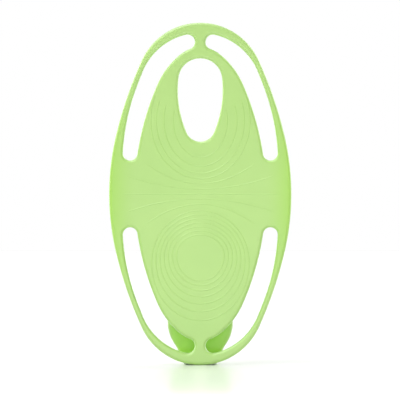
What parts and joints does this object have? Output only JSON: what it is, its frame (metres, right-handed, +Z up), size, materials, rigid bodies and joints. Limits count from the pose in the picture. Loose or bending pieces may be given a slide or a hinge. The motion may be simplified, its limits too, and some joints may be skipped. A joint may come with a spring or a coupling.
{
  "type": "handlebar phone holder",
  "caption": "Soft oval elastic harness that holds a telephone by its corners and wraps round a handlebar with a folded button strap.",
  "frame": {"origin": "centre of the plate's back face, where it lies against the handlebar", "axes": "+X to the right seen from the front, +Y backward towards the handlebar and strap, +Z up along the plate towards the button hole"},
  "size_m": [0.0746, 0.018, 0.14],
  "materials": {
    "silicone": "satin"
  },
  "bodies": {
    "plate": {"centre_plate": "silicone", "right_wing": "silicone", "left_wing": "silicone", "button_loop": "silicone", "lower_lobe": "silicone", "upper_web": "silicone", "lower_web": "silicone", "rim_top": "silicone", "rim_bottom": "silicone", "strap_fold": "silicone"},
    "upper_right_band": {"band_upper_right": "silicone"},
    "upper_left_band": {"band_upper_left": "silicone"},
    "lower_right_band": {"band_lower_right": "silicone"},
    "lower_left_band": {"band_lower_left": "silicone"},
    "panel_1_body": {"strap_panel_1": "silicone"},
    "panel_2_body": {"strap_panel_2": "silicone"},
    "panel_3_body": {"strap_panel_3": "silicone"},
    "panel_4_body": {"strap_panel_4": "silicone"},
    "panel_5_body": {"strap_panel_5": "silicone"},
    "panel_6_body": {"strap_panel_6": "silicone"},
    "neck_body": {"strap_neck": "silicone"},
    "head_body": {"strap_head": "silicone"}
  },
  "joints": [
    {"name": "upper_right_lift", "type": "hinge", "parent": "plate", "child": "upper_right_band", "pos_m": [0.0338, -0.0015, 0.019], "axis": [0.454, 0, -0.891], "range_deg": [0, 110], "stiffness_Nm_per_rad": 0.003},
    {"name": "upper_left_lift", "type": "hinge", "parent": "plate", "child": "upper_left_band", "pos_m": [-0.0338, -0.0015, 0.019], "axis": [0.454, 0, 0.891], "range_deg": [0, 110], "stiffness_Nm_per_rad": 0.003},
    {"name": "lower_right_lift", "type": "hinge", "parent": "plate", "child": "lower_right_band", "pos_m": [0.0338, -0.0015, -0.019], "axis": [-0.454, 0, -0.891], "range_deg": [0, 110], "stiffness_Nm_per_rad": 0.003},
    {"name": "lower_left_lift", "type": "hinge", "parent": "plate", "child": "lower_left_band", "pos_m": [-0.0338, -0.0015, -0.019], "axis": [-0.454, 0, 0.891], "range_deg": [0, 110], "stiffness_Nm_per_rad": 0.003},
    {"name": "strap_wrap", "type": "hinge", "parent": "plate", "child": "panel_1_body", "pos_m": [0, 0.015, -0.06295], "axis": [-1, 0, 0], "range_deg": [0, 30], "stiffness_Nm_per_rad": 0.01},
    {"name": "strap_wrap_2", "type": "hinge", "parent": "panel_1_body", "child": "panel_2_body", "pos_m": [0, 0.015, -0.05345], "axis": [-1, 0, 0], "range_deg": [0, 30]},
    {"name": "strap_curl_3", "type": "hinge", "parent": "panel_2_body", "child": "panel_3_body", "pos_m": [0, 0.012, -0.04395], "axis": [1, 0, 0], "range_deg": [0, 20]},
    {"name": "strap_curl_4", "type": "hinge", "parent": "panel_3_body", "child": "panel_4_body", "pos_m": [0, 0.012, -0.03445], "axis": [1, 0, 0], "range_deg": [0, 20]},
    {"name": "strap_curl_5", "type": "hinge", "parent": "panel_4_body", "child": "panel_5_body", "pos_m": [0, 0.012, -0.02495], "axis": [1, 0, 0], "range_deg": [0, 20]},
    {"name": "strap_curl_6", "type": "hinge", "parent": "panel_5_body", "child": "panel_6_body", "pos_m": [0, 0.012, -0.01545], "axis": [1, 0, 0], "range_deg": [0, 20]},
    {"name": "strap_curl_7", "type": "hinge", "parent": "panel_6_body", "child": "neck_body", "pos_m": [0, 0.012, -0.00595], "axis": [1, 0, 0], "range_deg": [0, 20]},
    {"name": "strap_curl_8", "type": "hinge", "parent": "neck_body", "child": "head_body", "pos_m": [0, 0.012, 0.00355], "axis": [1, 0, 0], "range_deg": [0, 20]}
  ],
  "couplings": [
    {"joint": "strap_wrap_2", "follows": "strap_wrap", "ratio": 1},
    {"joint": "strap_curl_3", "follows": "strap_wrap", "ratio": 0.6666},
    {"joint": "strap_curl_4", "follows": "strap_wrap", "ratio": 0.6666},
    {"joint": "strap_curl_5", "follows": "strap_wrap", "ratio": 0.6666},
    {"joint": "strap_curl_6", "follows": "strap_wrap", "ratio": 0.6666},
    {"joint": "strap_curl_7", "follows": "strap_wrap", "ratio": 0.6666},
    {"joint": "strap_curl_8", "follows": "strap_wrap", "ratio": 0.6666}
  ]
}
